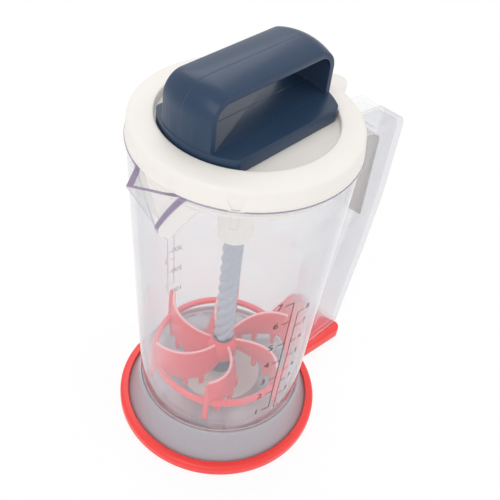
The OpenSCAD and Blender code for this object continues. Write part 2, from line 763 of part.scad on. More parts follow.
module whisk_retainer() {
    cap_r = hub_r - 1;
    edge = 1.4;
    color([0.22, 0.28, 0.36]) {
        rotate_extrude() polygon(concat(
            [[0, retainer_z]], arc([cap_r - edge, retainer_z + edge], edge, -90, 0),
            [[cap_r, hub_z], [rod_r, hub_z], [rod_r, rod_foot_z], [spigot_r, rod_foot_z],
             [spigot_r, rod_foot_z + spigot_h], [0, rod_foot_z + spigot_h]]));
    }
}

foot_ring();
foot_cone();
foot_plug();
jug_body();
jug_handle();
lid_seal();
lid_cover();
spout_gate();
guide_sleeve();
top_bush();
drive_nut();
sleeve_cap();
push_handle();
under_plate();
plate_screws();
swivel_bush();
spiral_rod();
rod_head();
rod_screw();
whisk();
whisk_retainer();
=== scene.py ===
import math

import bmesh
import bpy
import numpy as np
from mathutils import Matrix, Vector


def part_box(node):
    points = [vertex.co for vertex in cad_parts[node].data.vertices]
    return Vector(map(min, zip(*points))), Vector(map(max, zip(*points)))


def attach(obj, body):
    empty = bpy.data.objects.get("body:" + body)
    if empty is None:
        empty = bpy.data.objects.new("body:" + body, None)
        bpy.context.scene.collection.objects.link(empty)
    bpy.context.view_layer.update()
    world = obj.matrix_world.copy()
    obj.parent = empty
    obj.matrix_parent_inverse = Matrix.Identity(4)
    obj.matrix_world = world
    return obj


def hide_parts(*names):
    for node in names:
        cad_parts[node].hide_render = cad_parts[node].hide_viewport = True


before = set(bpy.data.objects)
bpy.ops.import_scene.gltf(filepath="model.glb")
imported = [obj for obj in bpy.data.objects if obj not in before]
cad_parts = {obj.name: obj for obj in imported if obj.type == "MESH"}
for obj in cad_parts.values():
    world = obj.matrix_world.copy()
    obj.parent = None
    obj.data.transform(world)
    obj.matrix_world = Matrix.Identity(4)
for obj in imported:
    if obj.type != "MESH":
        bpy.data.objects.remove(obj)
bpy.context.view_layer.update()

mm = 0.001  # metres in a millimetre


view = {
    "eye": (-214.3, -184.3, 381.2),  # mm
    "forward": (0.56648, 0.45872, -0.68460),
    "rollDegrees": 7.6,
    "lens": 57.02,
    "sensor": 36,
    "nearest": 10,                   # mm, what is closer isn't drawn
}

studio = {
    "room": 0.78,            # strength of the walls of the room
    # the room's colour at each height of a direction, which is 0 straight down and 1 straight up
    "walls": [
        (0.0, (1, 1, 1)), (0.46, (1, 1, 1)), (0.52, (0.93, 0.92, 0.95)), (0.66, (0.96, 0.96, 0.97)),
        (0.85, (1, 1, 1))],
    "paper": ((0.95, 0.95, 0.955), (0.98, 0.98, 0.98)),     # the floor's darker and lighter colour
    "paperScale": 90,        # of the pattern between them, per m
    "shadowShare": 0.12,     # share of the real shadow that the camera sees on the floor
    "floorHalf": 3.0,        # half side of the floor, m
    "floorDrop": 0.05,       # mm under the foot
    "layers": 32,            # clear faces that a ray may pass
    "aim": (0, 0, 0.1),      # m, where the lamps point
    # name: place in m, size in m, watts, colour
    "softboxes": {
        "keyLight": ((-0.80, -0.25, 0.95), 0.75, 3.2, (1.0, 0.99, 0.98)),
        "fillLight": ((0.75, -0.90, 0.75), 0.9, 1.8, (0.98, 0.99, 1.0)),
        "backLight": ((0.50, 0.72, 1.0), 0.8, 3.0, (1.0, 1.0, 1.0)),
    },
}


def lookAlong(direction):
    # 3x3 turn whose -Z points along direction
    back = -np.asarray(direction, float)
    back /= np.linalg.norm(back)
    side = np.cross((0, 0, 1), back)
    side /= np.linalg.norm(side)
    return np.stack([side, np.cross(back, side), back], axis=1)


def makeCamera():
    # right and up are rolled about the line of sight by rollDegrees
    roll = math.radians(view["rollDegrees"])
    spin = np.array([
        [math.cos(roll), -math.sin(roll), 0],
        [math.sin(roll), math.cos(roll), 0],
        [0, 0, 1]])
    place = np.eye(4)
    place[:3, :3] = lookAlong(view["forward"]) @ spin
    place[:3, 3] = np.array(view["eye"]) * mm
    lensData = bpy.data.cameras.new("camera")
    lensData.lens = view["lens"]
    lensData.sensor_width = view["sensor"]
    lensData.clip_start = view["nearest"] * mm
    camera = bpy.data.objects.new("camera", lensData)
    camera.matrix_world = Matrix(place.tolist())
    bpy.context.collection.objects.link(camera)
    bpy.context.scene.camera = camera


def makeSoftboxes():
    # square lamps that face the aim
    for name, (place, size, watts, colour) in studio["softboxes"].items():
        lamp = bpy.data.lights.new(name, "AREA")
        lamp.shape = "SQUARE"
        lamp.size = size
        lamp.energy = watts
        lamp.color = colour
        obj = bpy.data.objects.new(name, lamp)
        turn = Matrix(lookAlong(np.array(studio["aim"]) - np.array(place)).tolist())
        obj.matrix_world = Matrix.Translation(place) @ turn.to_4x4()
        bpy.context.collection.objects.link(obj)


class Wire:
    # a socket of a node tree; arithmetic on it adds Math nodes

    def __init__(self, graph, socket):
        self.graph = graph
        self.socket = socket

    def join(self, kind, a, b):
        # one Math node
        return self.graph.node("ShaderNodeMath", {"operation": kind}, {0: a, 1: b})

    def __add__(self, other):
        return self.join("ADD", self, other)

    def __radd__(self, other):
        return self.join("ADD", other, self)

    def __sub__(self, other):
        return self.join("SUBTRACT", self, other)

    def __rsub__(self, other):
        return self.join("SUBTRACT", other, self)

    def __mul__(self, other):
        return self.join("MULTIPLY", self, other)

    def __rmul__(self, other):
        return self.join("MULTIPLY", other, self)

    def __truediv__(self, other):
        return self.join("DIVIDE", self, other)

    def __pow__(self, other):
        return self.join("POWER", self, other)

    def __abs__(self):
        return self.join("ABSOLUTE", self, 0.0)

    def most(self, other):
        return self.join("MAXIMUM", self, other)

    def least(self, other):
        return self.join("MINIMUM", self, other)

    def under(self, other):
        # 1 where it is less than other, else 0
        return self.join("LESS_THAN", self, other)


class Graph:
    # a node tree that is filled through one method

    def __init__(self, owner):
        owner.use_nodes = True
        self.tree = owner.node_tree
        self.tree.nodes.clear()

    def node(self, kind, settings=None, sockets=None, out=0):
        # settings first, then values or wires on its sockets; the wire that comes back starts at out
        made = self.tree.nodes.new(kind)
        for key, value in (settings or {}).items():
            if key == "stops":
                ramp = made.color_ramp
                for place, colour in value[len(ramp.elements):]:
                    ramp.elements.new(place)
                for stop, (place, colour) in zip(ramp.elements, value):
                    stop.position = place
                    stop.color = (*colour, 1)
            else:
                setattr(made, key, value)
        for key, value in (sockets or {}).items():
            entry = made.inputs[key]
            if isinstance(value, Wire):
                self.tree.links.new(value.socket, entry)
            elif isinstance(value, tuple) and len(value) == 3 and entry.type == "RGBA":
                entry.default_value = (*value, 1)
            else:
                entry.default_value = value
        return Wire(self, made.outputs[out])

    def place(self, kind="Object"):
        # where a point is on the piece, in metres
        return self.node("ShaderNodeTexCoord", out=kind)

    def axis(self, vector, name):
        # X, Y or Z of a vector
        return self.node("ShaderNodeSeparateXYZ", sockets={0: vector}, out=name)

    def noise(self, scale, detail=3, rough=0.5):
        # fine pattern in the object's own metres
        return self.node("ShaderNodeTexNoise", sockets={
            "Vector": self.place(), "Scale": scale, "Detail": detail, "Roughness": rough})

    def mark(self, name):
        # number that the mesh carries at each point
        return self.node("ShaderNodeAttribute", {"attribute_name": name}, out=2)

    def ray(self, kind):
        # 1 for rays of that kind, else 0
        return self.node("ShaderNodeLightPath", out="Is " + kind + " Ray")

    def blend(self, share, a, b):
        # colour a where share is 0, b where it is 1
        return self.node("ShaderNodeMix", {"data_type": "RGBA"}, {0: share, 6: a, 7: b}, out=2)

    def mix(self, share, a, b):
        # the same for two shaders
        return self.node("ShaderNodeMixShader", sockets={0: share, 1: a, 2: b})

    def bump(self, height, strength, distance, **more):
        # a height of 1 stands distance metres high
        return self.node("ShaderNodeBump", sockets={
            "Height": height, "Strength": strength, "Distance": distance, **more})

    def plastic(self, colour, rough, **more):
        # the Principled shader, with whatever else is given by its sockets' names
        return self.node("ShaderNodeBsdfPrincipled", sockets={
            "Base Color": colour, "Roughness": rough, **more})

    def output(self, surface, kind="ShaderNodeOutputMaterial"):
        # ends the tree with a shader
        end = self.tree.nodes.new(kind)
        self.tree.links.new(surface.socket, end.inputs["Surface"])


def shade(colour, factor):
    # lighter or darker, at most white
    return tuple(min(1.0, c * factor) for c in colour)


def newMaterial(name):
    # a material and its empty node tree
    material = bpy.data.materials.new(name)
    return material, Graph(material)


# linear colour, roughness, size and height of the grain in mm, and coat; some have more: vary, how far the
# colour drifts, gloss, seam, half the width of the parting line in mm, and edgeHighlight, the colour of a
# painted highlight on marked edges, where light comes through the translucent plastic
finishes = {
    "slatePlastic": {"colour": (0.025, 0.052, 0.103), "rough": 0.33, "grain": (0.5, 0.010), "coat": 0.10,
                     "gloss": 0.28, "seam": 0.30},
    "creamPlastic": {"colour": (0.90, 0.865, 0.815), "rough": 0.48, "grain": (0.8, 0.006), "coat": 0.0},
    "redPlastic": {"colour": (0.95, 0.048, 0.042), "rough": 0.36, "grain": (0.7, 0.006), "coat": 0.10},
    "whiskPlastic": {"colour": (0.97, 0.045, 0.060), "rough": 0.30, "grain": (0.8, 0.008), "coat": 0.10,
                     "vary": 0.14, "edgeHighlight": (0.96, 0.50, 0.51)},
    "rodPlastic": {"colour": (0.40, 0.43, 0.50), "rough": 0.35, "grain": (0.6, 0.006), "coat": 0.10},
    "bushPlastic": {"colour": (0.75, 0.74, 0.70), "rough": 0.45, "grain": (0.6, 0.006), "coat": 0.0},
    "sealRubber": {"colour": (0.84, 0.82, 0.78), "rough": 0.55, "grain": (0.4, 0.012), "coat": 0.0},
}

moulding = {
    "drift": 45,                         # scale of the slow drift, per m
    "inColour": (0.5, 0.3),              # shares of drift and grain in the colour
    "inRough": (0.06, 0.05),             # what drift and grain add to the roughness
    "smoother": 0.05,                    # taken off it first
    "vary": 0.05,                        # how far the colour drifts, unless the finish says so
    "relief": 0.6,                       # strength of the grain
    "gloss": 0.5,
    "coatRough": 0.12,
    "seamHeight": 0.25,                  # mm
    "seamColour": (0.5, 3.0),            # share and lightness of the parting line's colour
}


def mouldedPlastic(name):
    # colour and roughness drift slowly over the part, and fine grain sits on both
    spec = finishes[name]
    material, g = newMaterial(name)
    size, height = spec["grain"]
    drift = g.noise(moulding["drift"], 2)
    grain = g.noise(1 / (size * mm), 4, 0.6)
    vary = spec.get("vary", moulding["vary"])
    darker, lighter = shade(spec["colour"], 1 - vary), shade(spec["colour"], 1 + vary)
    slow, fine = moulding["inColour"]
    colour = g.blend(drift * slow + grain * fine, darker, lighter)
    slow, fine = moulding["inRough"]
    rough = spec["rough"] - moulding["smoother"] + drift * slow + grain * fine
    relief = g.bump(grain, moulding["relief"], height * mm)
    if "seam" in spec:
        # the mould's parting line, a low ridge along y = 0: 1 - |y| / half width, where that is above 0
        share, factor = moulding["seamColour"]
        line = (1 - abs(g.axis(g.place(), "Y")) / (spec["seam"] * mm)).most(0.0)
        colour = g.blend(line * share, colour, shade(spec["colour"], factor))
        relief = g.bump(line, 1.0, moulding["seamHeight"] * mm, Normal=relief)
    # painted highlight: where the "edge" attribute marks them, the whisk vanes' top edges are painted paler
    if "edgeHighlight" in spec:
        colour = g.blend(g.mark("edge"), colour, spec["edgeHighlight"])
    g.output(g.plastic(colour, rough, Normal=relief, **{
        "Coat Weight": spec["coat"], "Coat Roughness": moulding["coatRough"],
        "Specular IOR Level": spec.get("gloss", moulding["gloss"])}))
    return material


silverCoat = {
    "flakes": 2600.0, "drift": 30,       # scales of the two patterns, per m
    "inColour": (0.35, 0.2),             # their shares
    "dark": (0.42, 0.415, 0.45), "light": (0.56, 0.555, 0.59),
    "metal": 0.5, "rough": 0.36, "driftRough": 0.06,
    "grain": 1500, "relief": 0.25, "height": 0.01,      # per m, strength, mm
}


def satinSilver():
    # metal flakes: each cell of a fine pattern is a little lighter or darker than the next
    spec = silverCoat
    material, g = newMaterial("satinSilver")
    flake = g.node("ShaderNodeTexVoronoi", sockets={
        "Vector": g.place(), "Scale": spec["flakes"]}, out="Color")
    drift = g.noise(spec["drift"], 2)
    fine, slow = spec["inColour"]
    g.output(g.plastic(
        g.blend(flake * fine + drift * slow, spec["dark"], spec["light"]),
        spec["rough"] + drift * spec["driftRough"],
        Metallic=spec["metal"],
        Normal=g.bump(g.noise(spec["grain"], 3), spec["relief"], spec["height"] * mm)))
    return material


clearSpec = {
    "haze": (0.57, 0.585, 0.635),      # colour of the wall itself, which also stands in for its reflection of the white room: partly painted reflection
    "hazeCover": 0.125,                # cover of one face seen square on
    "grazing": 0.56,                   # more cover where it is seen edge-on
    "violet": (0.17, 0.095, 0.25),     # colour of its cut edges: the plastic's own tint, deepened as painted dark reflection
    "edgeCover": 0.74,                 # more cover there
    "grazingViolet": 0.5,              # share of that colour, with its painted dark reflection, where it is seen edge-on
    "redReflection": (0.93, 0.62, 0.62),       # painted reflection of the red foot in the wall
    "redReflectionShare": 0.8,
    "redReflectionCover": 0.15,                # more cover there
    "fade": 3.0,                       # height in mm over which that fades
    "seatHighlight": (0.97, 0.88, 0.88),        # painted highlight: a pale line where the wall enters the foot
    "seatHighlightCover": 0.55,                 # more cover there
    "seatHighlightHalf": 1.1,                   # half its height in mm, over which it fades
    "core": 40.0,                      # radius in mm of the jug's floor
    "coreClearer": 0.8,                # share of haze and mirror that is missing there
    "stripShade": (0.24, 0.225, 0.19),      # painted warm-grey shade on the grip's inner face
    "stripShare": 0.8,
    "stripCover": 0.36,                # more cover there
    "stripLow": 85.0,                  # height in mm where that tint ends
    "stripDepth": 1.2,                 # how far from the face it reaches, mm
    "stripTurn": 5.0,                  # distance in mm that a face turned away from it counts as
    "gripClear": (56.0, 80.0, 0.2),    # the handle clears from the second x in mm to the first, to this share
    "square": 0.035,                   # mirror share seen square on
    "glancing": 0.75,                  # more of it at a glancing angle
    "ripple": (40, 0.10, 0.2),         # scale per m, strength and height in mm of the wall's unevenness
    "rough": (0.10, 0.05),             # roughness, and what the ripple adds
    "mirrorRough": 0.06,
}

# least edge share, heights in mm of the top of the painted red reflection and of the painted seat highlight,
# share of the haze on the side with y below 0, and for the grip where its inner face is along X, in mm
clearWalls = {
    "clearPlastic": {"leastEdge": 0.0, "redReflectionTop": 25.0, "seatHighlightTop": 24.6, "near": 1.0},
    "clearGrip": {"leastEdge": 0.0, "redReflectionTop": 11.0, "seatHighlightTop": 9.0, "near": 1.85, "innerFace": 91.0},
    "clearEdge": {"leastEdge": 0.25, "redReflectionTop": 11.0, "seatHighlightTop": 9.0, "near": 1.85, "innerFace": 91.0},
}


def clearWall(name):
    # thin haze, the wall's milky colour and partly a painted reflection of the white room, that thickens and
    # turns violet where the wall is seen edge-on or has a cut edge, the violet being the plastic's tint
    # deepened by painted dark reflection, under a gloss that is the same from both sides: square + glancing *
    # facing^5; the "edge" attribute marks the cut edges. At the seat the wall enters the foot, where a pale
    # line is painted as a painted highlight.
    # Below the red reflection's top a painted reflection of the red foot shows in it, outside the core;
    # inside the core it is the jug's floor, which is clearer. The grip's inner face carries a strip of
    # painted warm-grey shade and is denser than the rest of the grip, which clears towards the jug
    spec, wall = clearSpec, clearWalls[name]
    material, g = newMaterial(name)
    x, y, z = [g.axis(g.place(), key) for key in "XYZ"]
    core = (x ** 2.0 + y ** 2.0).under((spec["core"] * mm) ** 2)
    side = y.under(0.0) * (2 * wall["near"] - 2) + 2 - wall["near"]
    if "innerFace" in wall:
        low, high, least = spec["gripClear"]
        side = side * ((x / mm - low) / (high - low)).most(least).least(1.0)
    clearer = 1 - core * spec["coreClearer"]
    facing = g.node("ShaderNodeLayerWeight", sockets={"Blend": 0.5}, out="Facing")
    grazing = facing ** 4.0
    edge = g.mark("edge").most(wall["leastEdge"])
    cover = side * clearer * spec["hazeCover"]
    cover = cover + (grazing * spec["grazing"] + edge * spec["edgeCover"]) * side.least(1.0)
    # violet at cut edges and where seen edge-on: the plastic's tint with painted dark reflection
    tint = g.blend(edge.most(grazing * spec["grazingViolet"]), spec["haze"], spec["violet"])
    if "innerFace" in wall:
        # a strip of painted warm-grey shade along the grip's inner face, above stripLow
        turned = g.axis(g.place("Normal"), "X") ** 2.0 - 1.0
        below = (spec["stripLow"] * mm - z).most(0.0)
        offFace = (x - wall["innerFace"] * mm) ** 2.0 + (turned * (spec["stripTurn"] * mm)) ** 2.0
        offFace = offFace + below ** 2.0
        stripShade = offFace.under((spec["stripDepth"] * mm) ** 2)
        cover = cover + stripShade * spec["stripCover"]
        tint = g.blend(stripShade * spec["stripShare"], tint, spec["stripShade"])
    # painted reflection of the red foot: full low on the wall, fading out over fade up to its top, outside
    # the core
    redReflection = ((wall["redReflectionTop"] * mm - z) / (spec["fade"] * mm)).most(0.0).least(1.0) * (1 - core)
    # painted highlight: a pale line at the seat, outside the core
    seatHighlight = (1 - abs(z / mm - wall["seatHighlightTop"]) / spec["seatHighlightHalf"]).most(0.0) * (1 - core)
    cover = cover + redReflection * spec["redReflectionCover"] + seatHighlight * spec["seatHighlightCover"]
    tint = g.blend(seatHighlight, g.blend(redReflection * spec["redReflectionShare"], tint, spec["redReflection"]), spec["seatHighlight"])
    scale, strength, height = spec["ripple"]
    ripple = g.noise(scale, 2)
    bent = g.bump(ripple, strength, height * mm)
    rough, uneven = spec["rough"]
    body = g.plastic(tint, rough + ripple * uneven, Alpha=cover, Normal=bent)
    shine = g.node("ShaderNodeBsdfAnisotropic", sockets={
        "Color": (1.0, 1.0, 1.0), "Roughness": spec["mirrorRough"], "Normal": bent})
    mirror = (spec["square"] + facing ** 5.0 * spec["glancing"]) * side.least(1.0) * clearer
    # shadow rays and diffuse light pass, because what a clear wall scatters still goes through
    spread = g.ray("Shadow").most(g.ray("Diffuse"))
    g.output(g.mix(spread, g.mix(mirror, body, shine), g.node("ShaderNodeBsdfTransparent")))
    return material


steelSpec = {
    "scratches": 700, "dark": (0.50, 0.51, 0.53), "light": (0.66, 0.67, 0.69), "rough": (0.25, 0.15),
}


def screwSteel():
    # fine scratches change the colour and the roughness
    material, g = newMaterial("screwSteel")
    scratch = g.noise(steelSpec["scratches"], 4, 0.7)
    rough, rougher = steelSpec["rough"]
    g.output(g.plastic(
        g.blend(scratch, steelSpec["dark"], steelSpec["light"]), rough + scratch * rougher, Metallic=1.0))
    return material


# colours of the printed scales
inks = {
    "blackInk": (0.006, 0.006, 0.008),
    "greyInk": (0.030, 0.030, 0.034),
    "paleInk": (0.10, 0.10, 0.12),
}

inkSpec = {"grain": 1800, "lighter": 1.5, "rough": (0.4, 0.15)}


def scaleInk(name):
    # screen print: slightly uneven cover
    material, g = newMaterial(name)
    cover = g.noise(inkSpec["grain"])
    colour = g.blend(cover, inks[name], shade(inks[name], inkSpec["lighter"]))
    rough, rougher = inkSpec["rough"]
    g.output(g.plastic(colour, rough + cover * rougher))
    return material


def makeStage():
    # the floor: white to the camera and to clear or shiny parts, with a share of the real shadow kept
    half = studio["floorHalf"]
    drop = -studio["floorDrop"] * mm
    corners = [[(-half, -half, drop), (half, -half, drop)], [(-half, half, drop), (half, half, drop)]]
    floor = surface("floor", (corners, False, False))
    material, g = newMaterial("paleFloor")
    seen = g.ray("Camera").most(g.ray("Glossy")).most(g.ray("Transmission"))
    matte = g.node("ShaderNodeBsdfDiffuse", sockets={
        "Color": g.blend(g.noise(studio["paperScale"]), *studio["paper"])})
    glow = g.node("ShaderNodeEmission", sockets={"Color": (1.0, 1.0, 1.0), "Strength": 1.0})
    g.output(g.mix(seen * (1 - studio["shadowShare"]), matte, glow))
    floor.data.materials.append(material)
    # the room: white for the camera, and for everything else white with a darker band above the horizon
    world = bpy.data.worlds.new("room")
    bpy.context.scene.world = world
    g = Graph(world)
    height = g.axis(g.place("Generated"), "Z") * 0.5 + 0.5
    walls = g.node("ShaderNodeValToRGB", {"stops": studio["walls"]}, {0: height})
    room = g.node("ShaderNodeBackground", sockets={"Color": walls, "Strength": studio["room"]})
    white = g.node("ShaderNodeBackground", sockets={"Color": (1.0, 1.0, 1.0), "Strength": 1.0})
    g.output(g.mix(g.ray("Camera"), room, white), "ShaderNodeOutputWorld")
    bpy.context.scene.view_settings.view_transform = "Standard"
    bpy.context.scene.cycles.transparent_max_bounces = studio["layers"]


smoothing = {
    "weld": 1e-7,            # m, points of a new surface nearer than this are one
    "crease": 50,            # degrees, sharper edges of a new surface stay sharp
    "merge": 1e-6,           # m, the same as weld for a copy of a CAD node
    "flat": 0.4,             # degrees, its faces that differ less are one
    "sharp": 32,             # degrees, its sharper edges are rounded
}

# radius in mm and segments of the rounded edges of a CAD node's copy
rounding = {
    "jug_handle": (0.6, 2), "push_handle": (0.7, 3), "lid_cover": (0.35, 2), "spout_gate": (0.3, 2),
    "foot_ring": (0.6, 3), "foot_cone": (0.3, 2),
}


def circle(count):
    # angles of count points round a circle
    return np.linspace(0, 2 * np.pi, count, endpoint=False)


def polar(radius, turn, z):
    # points at a radius and a turn in radians about Z
    radius, turn, z = np.broadcast_arrays(radius, turn, z)
    return np.stack([radius * np.cos(turn), radius * np.sin(turn), z], axis=-1)


def lathe(section, around=120):
    # a closed section of (radius, height) turned about Z
    section = np.array(section, float)
    return polar(section[:, :1], circle(around), section[:, 1:])


def roundedBox(count, power):
    # |cos|^power and |sin|^power with their signs: a circle at 1, and nearer to a square the smaller it is
    waves = np.cos(circle(count)), np.sin(circle(count))
    return [np.sign(wave) * np.abs(wave) ** power for wave in waves]


def capped(grid):
    # the first and last rows shrink to their middles, which closes a tube
    ends = np.broadcast_to(grid.mean(axis=1, keepdims=True), grid.shape)
    return np.concatenate([ends[:1], grid, ends[-1:]])


def surface(name, *grids):
    # each grid is (points [u, v, xyz], close u, close v): quads between neighbours, wrapped where closed
    points, quads = [], []
    count = 0
    for grid, closeU, closeV in grids:
        grid = np.asarray(grid, float)
        rows, columns = grid.shape[:2]
        u = np.arange(rows if closeU else rows - 1)[:, None]
        v = np.arange(columns if closeV else columns - 1)[None, :]
        upper, right = (u + 1) % rows, (v + 1) % columns
        corners = [u * columns + v, u * columns + right, upper * columns + right, upper * columns + v]
        quads.append(np.stack(corners, axis=-1).reshape(-1, 4) + count)
        points.append(grid.reshape(-1, 3))
        count += rows * columns
    points, quads = np.concatenate(points), np.concatenate(quads).astype(np.int32)
    mesh = bpy.data.meshes.new(name)
    mesh.vertices.add(len(points))
    mesh.vertices.foreach_set("co", points.astype(np.float32).ravel())
    mesh.loops.add(quads.size)
    mesh.loops.foreach_set("vertex_index", quads.ravel())
    mesh.polygons.add(len(quads))
    mesh.polygons.foreach_set("loop_start", np.arange(0, quads.size, 4, dtype=np.int32))
    mesh.polygons.foreach_set("use_smooth", np.ones(len(quads), bool))
    mesh.update(calc_edges=True)
    mesh.validate()
    obj = bpy.data.objects.new(name, mesh)
    bpy.context.collection.objects.link(obj)
    return obj


def merged(obj, distance, flat=None, outwards=False):
    # points nearer than distance are one; faces may be rejoined where they are flat, or turned outwards
    shell = bmesh.new()
    shell.from_mesh(obj.data)
    bmesh.ops.remove_doubles(shell, verts=shell.verts, dist=distance)
    if flat:
        bmesh.ops.dissolve_limit(
            shell, angle_limit=math.radians(flat), verts=shell.verts, edges=shell.edges)
    if outwards:
        bmesh.ops.recalc_face_normals(shell, faces=shell.faces)
    shell.to_mesh(obj.data)
    shell.free()


def finished(obj, node, share=None):
    # a new surface that replaces node: share is its "edge" attribute; poles and seams become single points
    if share is not None:
        flat = np.asarray(share, np.float32).ravel()
        obj.data.attributes.new("edge", "FLOAT", "POINT").data.foreach_set("value", flat)
    merged(obj, smoothing["weld"], outwards=True)
    obj.data.set_sharp_from_angle(angle=math.radians(smoothing["crease"]))
    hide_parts(node)
    return obj


def softened(node, name, edgeSlot=-1):
    # copy of a CAD node with its flat faces rejoined and its sharp edges rounded
    obj = bpy.data.objects.new(name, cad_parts[node].data.copy())
    bpy.context.collection.objects.link(obj)
    merged(obj, smoothing["merge"], flat=smoothing["flat"])
    obj.data.polygons.foreach_set("use_smooth", np.ones(len(obj.data.polygons), bool))
    obj.data.materials.clear()
    width, segments = rounding[node]
    bevel = obj.modifiers.new("roundedEdges", "BEVEL")
    bevel.width = width * mm
    bevel.segments = segments
    bevel.limit_method = "ANGLE"
    bevel.angle_limit = math.radians(smoothing["sharp"])
    bevel.harden_normals = True
    bevel.miter_outer = "MITER_ARC"
    bevel.material = edgeSlot
    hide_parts(node)
    return obj


def dress(obj, body, slot, *materials):
    # its materials and the body it moves with; slot is not used
    for material in materials:
        obj.data.materials.append(material)
    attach(obj, body)
    return obj


# sizes of the jug in mm, and turns in degrees from the spout; the heights come from its CAD box
jug = {
    "baseZ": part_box("jug_body")[0].z / mm,
    "tipZ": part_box("jug_body")[1].z / mm,
    "baseRadius": 44.0, "rimRadius": 51.4, "wall": 2.6, "floor": 2.6,
    "slack": 0.03,                          # the wall stays this much inside its neighbours
    "corner": 1.5, "cornerGap": 0.5,        # radius round the underside, and from it to the wall's first row
    "fillet": 2.4, "filletShare": 0.1,      # radius round the floor, and its edge share
    "round": 0.35, "roundCut": 0.3,         # radius of the top edge, and the share of it cut at 45 degrees
    # the rim lip stands out by lip, which it reaches lipFlat below the rim
    "lip": 0.8, "lipDepth": 2.6, "lipFlat": 1.2,
    # the V above and below the rim, its reach, half width and wall, where the top edge begins to rise along
    # it, and the turn past which its faces are left out of account
    "spoutRise": 4.9, "spoutDrop": 26.0, "spoutReach": 14.8, "spoutHalf": 14.8, "spoutWall": 3.27,
    "spoutFlatTo": 52.6, "spoutTurn": 60,
    "topPasses": 25,                        # substitutions that find the top edge's height
    # the closing mark stands proud of the rim's radius; its height is short of markDepth at both ends
    "markTurn": 40.0, "markWidth": 3.0, "markDepth": 8.6, "markGap": 1.2, "markShort": 0.2, "proud": 0.5,
    # the violet that the clear material lays on these edge shares is partly painted dark reflection
    # edge shares of the wall: the V's ridge, which fades over ridgeHalf at the radius ridgeAt; the bar where
    # the V meets the cone; the rim from line mm above the lip's lower end, away from the V; and the top
    # edge, paler at the mark, where the lid's arrow leaves it in view
    "ridgeHalf": 0.9, "ridgeAt": 50, "ridgeShare": 0.30,
    "bar": 0.8, "barFade": 0.4, "barTurn": 28.5,
    "line": 2.0, "rimTurn": 17, "rimShare": 0.85,
    "topShare": 0.8, "arrowTurn": 3.4, "arrowShare": 0.1,
    # the grid: turns near the spout, round the rest and at the mark, rows of the wall and its upper part
    "nearTurn": 26, "nearStep": 0.4, "farTurns": 90, "markSpan": (-2.4, 2.4, 13),
    "rows": 30, "upperFrom": 0.82, "upperRows": 60, "floorRings": (0, 15, 30), "arc": (30, 60, 90),
}
jug["rimZ"] = jug["tipZ"] - jug["spoutRise"]


def coneRadius(z):
    # straight taper of the jug's outer wall from its base to its rim
    share = (z - jug["baseZ"]) / (jug["rimZ"] - jug["baseZ"])
    return jug["baseRadius"] + share * (jug["rimRadius"] - jug["baseRadius"])


def spoutRadius(turn, z, wall):
    # radius of the V's faces: w p / (w cos t + c sin t), where t is the angle from the spout, p the ridge's
    # distance from the axis at that height, w the V's half width at the rim and c the depth of the V there
    tip = jug["rimRadius"] + jug["spoutReach"]
    root = coneRadius(jug["rimZ"] - jug["spoutDrop"])
    slope = (tip - root) / (jug["spoutDrop"] + jug["spoutRise"])
    half = jug["spoutHalf"]
    depth = root + slope * jug["spoutDrop"] - math.sqrt(jug["rimRadius"] ** 2 - half ** 2)
    ridge = root + slope * (z - jug["rimZ"] + jug["spoutDrop"]) - wall
    side = np.minimum(np.abs(turn), math.radians(jug["spoutTurn"]))
    return half * ridge / (half * np.cos(side) + depth * np.sin(side))


def jugTop(radius, turn):
    # height of the top edge: flat out to spoutFlatTo, then rising along the spout, by repeated substitution
    z = np.full(turn.shape, jug["tipZ"])
    slope = jug["spoutRise"] / (jug["rimRadius"] + jug["spoutReach"] - jug["spoutFlatTo"])
    for _ in range(jug["topPasses"]):
        reach = radius(turn, z) * np.cos(turn)
        z = jug["rimZ"] + np.clip(reach - jug["spoutFlatTo"], 0, None) * slope
    return z


def onMark(turn, z):
    # inside the closing mark's width and height
    offTurn = np.abs((turn - math.radians(jug["markTurn"]) + math.pi) % (2 * math.pi) - math.pi)
    offMiddle = np.abs(z - jug["rimZ"] + jug["markGap"] + jug["markDepth"] / 2)
    return (offTurn * jug["rimRadius"] < jug["markWidth"] / 2) & \
        (offMiddle < jug["markDepth"] / 2 - jug["markShort"])


def outerRadius(turn, z):
    # the largest of the cone with its rim lip, the V and, on its own stretch, the closing mark
    low = jug["rimZ"] - jug["lipDepth"]
    lip = np.interp(z, [low, jug["rimZ"] - jug["lipFlat"]], [0, jug["lip"]]) * (z > low)
    spout = spoutRadius(turn, z, 0) * (z > jug["rimZ"] - jug["spoutDrop"])
    mark = onMark(turn, z) * (jug["rimRadius"] + jug["proud"])
    return np.maximum(np.maximum(coneRadius(z) + lip, spout), mark) - jug["slack"]


def innerRadius(turn, z):
    # the larger of the inner cone and the inner faces of the V
    spout = spoutRadius(turn, z, jug["spoutWall"]) * (z > jug["rimZ"] - jug["spoutDrop"])
    return np.maximum(coneRadius(z) - jug["wall"], spout)


def wallShare(turn, z):
    # edge share of the outer wall: the most of the ridge, the rim and the bar, each on its own stretch
    ridge = np.clip(1 - np.abs(turn) * jug["ridgeAt"] / jug["ridgeHalf"], 0, 1) * jug["ridgeShare"]
    ridge = ridge * (z > jug["rimZ"] - jug["spoutDrop"])
    rim = (z > jug["rimZ"] - jug["lipDepth"] + jug["line"]) * jug["rimShare"]
    rim = rim * (np.abs(turn) > math.radians(jug["rimTurn"]))
    offBar = np.abs(spoutRadius(turn, z, 0) - coneRadius(z))
    bar = np.clip(jug["bar"] + jug["barFade"] - offBar, 0, jug["barFade"]) / jug["barFade"]
    bar = bar * (np.abs(turn) < math.radians(jug["barTurn"]))
    return np.maximum(np.maximum(ridge, rim), bar)


